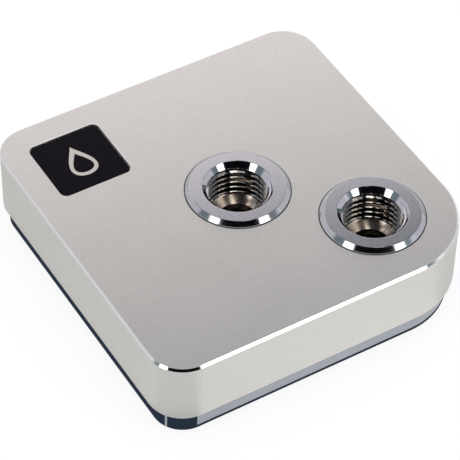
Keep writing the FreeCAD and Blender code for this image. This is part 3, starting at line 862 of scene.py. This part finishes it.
def diffuser_painted_gradient(tree):
    """A painted gradient of light: dark on the camera's side and light behind, by the distance along the
    level direction away from it.
    """
    middle = (DIFFUSER_MIDDLE[0] * MM, DIFFUSER_MIDDLE[1] * MM, 0.0)
    from_middle = vector_maths(tree, "SUBTRACT", object_point(tree), middle)
    along_mm = maths(tree, "DIVIDE", along(tree, from_middle, (*DIFFUSER_AHEAD, 0.0)), MM)
    return blend_colour(tree, ramp(tree, along_mm, *DIFFUSER_FADE), DIFFUSER_PAINTED_DARK, DIFFUSER_PAINTED_LIGHT)


def only_in_metal(sheet):
    """Marks a stage sheet as a painted reflection that only bright surfaces mirror: it throws no light, shade
    or picture.
    """
    sheet.visible_camera = False
    sheet.visible_diffuse = False
    sheet.visible_transmission = False
    sheet.visible_shadow = False


def overhead_sheet(name, toward, right, height, material):
    """A level sheet that bright metal mirrors.

    Its corners are the ends of its span toward the camera and of its span to the camera's right.
    """
    to_camera, to_right = level_axes(VIEW_AZIMUTH)
    spans = [(toward[0], right[0]), (toward[0], right[1]), (toward[1], right[1]), (toward[1], right[0])]
    corners = [(*(t * to_camera + r * to_right), height) for t, r in spans]
    sheet = mesh_piece(name, corners, [(0, 1, 2, 3)], material)
    only_in_metal(sheet)


def plate_edge(centre, radius, start_degrees, end_degrees, steps=CARD_STEPS):
    """Points and outward directions along a corner of the plate's outline, by the angle round its centre."""
    angle = np.radians(np.linspace(start_degrees, end_degrees, steps))
    out = np.stack([np.cos(angle), np.sin(angle)], -1)
    return np.stack([np.asarray(centre) + radius * out, out])


def mirrored_strip(name, edge, heights, material):
    """The part of the table that the plate's edge mirrors to the camera.

    A point at height h on the edge mirrors the table at h / tan(elevation) from it, along the level direction
    to the camera turned over about the edge's outward direction.
    """
    points, out = edge
    to_camera = level_axes(VIEW_AZIMUTH)[0]
    mirrored = 2 * (out @ to_camera)[:, None] * out - to_camera
    reach = np.asarray(heights, float)[None, :, None] / math.tan(math.radians(VIEW_ELEVATION))
    level = points[:, None, :] + reach * mirrored[:, None, :]
    rows, columns = level.shape[:2]
    lift = np.full((rows, columns, 1), PLATE_LOW[2] - CARD_GAP)
    corners = np.concatenate([level, lift], -1).reshape(-1, 3)
    strip = mesh_piece(name, corners, grid_faces(rows, columns, closed=False), material)
    only_in_metal(strip)


def make_painted_reflection_cards():
    """Painted shade and reflections in the plate's edge: dark glowing cards along its left side, front corner
    and front foot, grey ones further out.
    """
    left, wide = PLATE_LOW[0] + PLATE_CORNER, OUTLET_CORNER - (COVER_HIGH[0] - PLATE_HIGH[0])
    left_corner = (left, PLATE_HIGH[1] - PLATE_CORNER), PLATE_CORNER
    front_corner = (left, PLATE_LOW[1] + PLATE_CORNER), PLATE_CORNER
    outlet_corner = (PLATE_HIGH[0] - wide, PLATE_LOW[1] + wide), wide

    # painted shade: dark cards that the plate's edge mirrors along its left side, front corner and front foot
    dark = glow_finish("dark_card_painted_reflection", PAINTED_DARK_REFLECTION)
    side = plate_edge(*left_corner, CARD_START_DEGREES, LEFT_DEGREES)
    to_streak = plate_edge(*front_corner, LEFT_DEGREES, STREAK_DEGREES[0])
    mirrored_strip("card_left", np.hstack([side, to_streak]), DARK_CARD_HEIGHTS, dark)
    past_streak = plate_edge(*front_corner, STREAK_DEGREES[1], CARD_END_DEGREES)
    mirrored_strip("card_front", past_streak, DARK_CARD_HEIGHTS, dark)
    line_start = plate_edge(*front_corner, CARD_END_DEGREES, FRONT_DEGREES, CARD_SHORT_STEPS)
    line_end = plate_edge(*outlet_corner, FRONT_DEGREES, FOOT_LINE_END_DEGREES)
    mirrored_strip("card_line_painted_foot_shadow", np.hstack([line_start, line_end]), FOOT_SHADOW_LINE_HEIGHTS, dark)

    # painted reflection: grey glowing cards further out
    grey = glow_finish("grey_card_painted_reflection", PAINTED_GREY_REFLECTION)
    front_edge = plate_edge(*front_corner, *GREY_FRONT_DEGREES)
    mirrored_strip("card_front_far", front_edge, GREY_CARD_HEIGHTS, grey)
    outlet_edge = plate_edge(*outlet_corner, *GREY_OUTLET_DEGREES)
    mirrored_strip("card_outlet_far", outlet_edge, GREY_CARD_HEIGHTS, grey)


def make_stage():
    """The table that the plate lies on, and the painted reflections: the cards beside it, and the diffuser
    and strips over it.
    """
    half, level = TABLE_SIZE / 2, PLATE_LOW[2] - TABLE_GAP
    corners = [(-half, -half, level), (half, -half, level), (half, half, level), (-half, half, level)]
    table = mesh_piece("table", corners, [(0, 1, 2, 3)], table_finish())
    # painted reflection: a glowing sheet with a painted gradient, seen only in bright metal
    diffuser = glow_finish("diffuser_glow", diffuser_painted_gradient)
    overhead_sheet("diffuser", DIFFUSER_TOWARD, DIFFUSER_RIGHT, DIFFUSER_HEIGHT, diffuser)
    # painted highlights: glowing strips that only bright metal mirrors
    for name, toward, right, tone in STRIPS:
        overhead_sheet(name, toward, right, STRIP_HEIGHT, glow_finish(name + "_glow", tone))
    make_painted_reflection_cards()


def make_lamp(name, place_mm, size_mm, watts):
    """A rectangular lamp that faces the plate."""
    data = bpy.data.lights.new(name, "AREA")
    data.shape = "RECTANGLE"
    data.size = size_mm[0] * MM
    data.size_y = size_mm[1] * MM
    data.energy = watts
    lamp = bpy.data.objects.new(name, data)
    lamp.location = Vector(place_mm) * MM
    towards = (Vector((0.0, 0.0, COVER_TOP / 2)) - Vector(place_mm)).normalized()
    lamp.rotation_euler = towards.to_track_quat("-Z", "Y").to_euler()
    bpy.context.scene.collection.objects.link(lamp)


def make_studio():
    """World, table, lamps and camera, shown with the plain view transform."""
    bpy.context.scene.view_settings.view_transform = "Standard"
    make_world()
    make_stage()
    for lamp in LAMPS:
        make_lamp(*lamp)
    make_camera()


dress_nodes()
for port_node in ("inlet_insert", "outlet_insert"):
    port_insert(port_node)
badge_mark()
make_studio()
